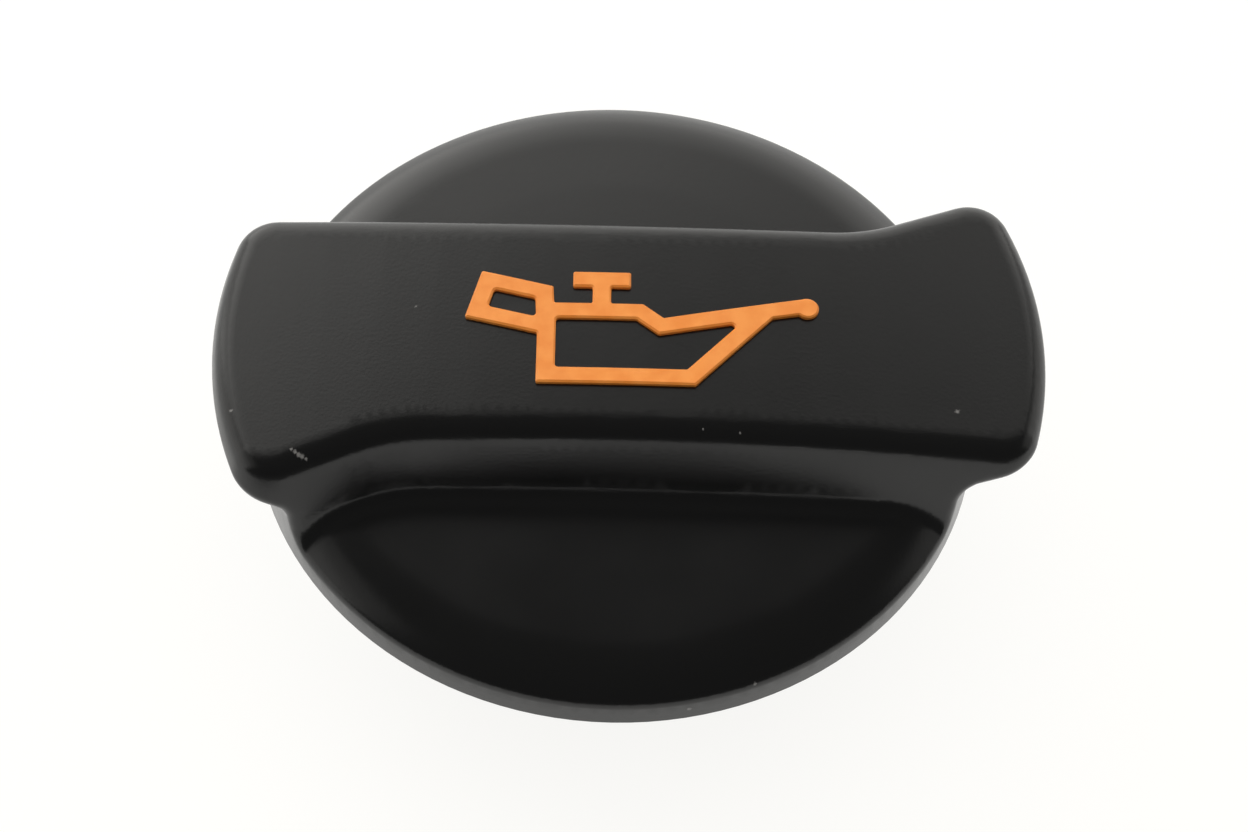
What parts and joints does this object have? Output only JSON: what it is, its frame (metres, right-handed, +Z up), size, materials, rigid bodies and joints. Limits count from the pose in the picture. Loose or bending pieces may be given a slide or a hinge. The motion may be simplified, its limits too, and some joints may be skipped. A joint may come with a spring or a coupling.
{
  "type": "oil filler cap",
  "caption": "Round oil filler cap with a domed disc, an S-shaped grip bar with a raised oil-can sign, and a hollow stem with bayonet lugs and a sealing ring below.",
  "frame": {"origin": "on the axis of the disc and stem, at the level of the stem's lower end, which is the ground the cap stands on", "axes": "+Z up along the stem's axis, out of the filler neck; +X along the grip bar, to the right in the picture; +Y to the back"},
  "size_m": [0.0679, 0.06, 0.0297],
  "materials": {
    "cap_plastic": "satin, fine grain",
    "sign_plastic": "satin",
    "insert_plastic": "satin",
    "seal_rubber": "matt"
  },
  "bodies": {
    "root": {"grip_cap": "cap_plastic", "oil_can_symbol": "sign_plastic", "bayonet_insert": "insert_plastic", "sealing_ring": "seal_rubber"}
  },
  "joints": []
}
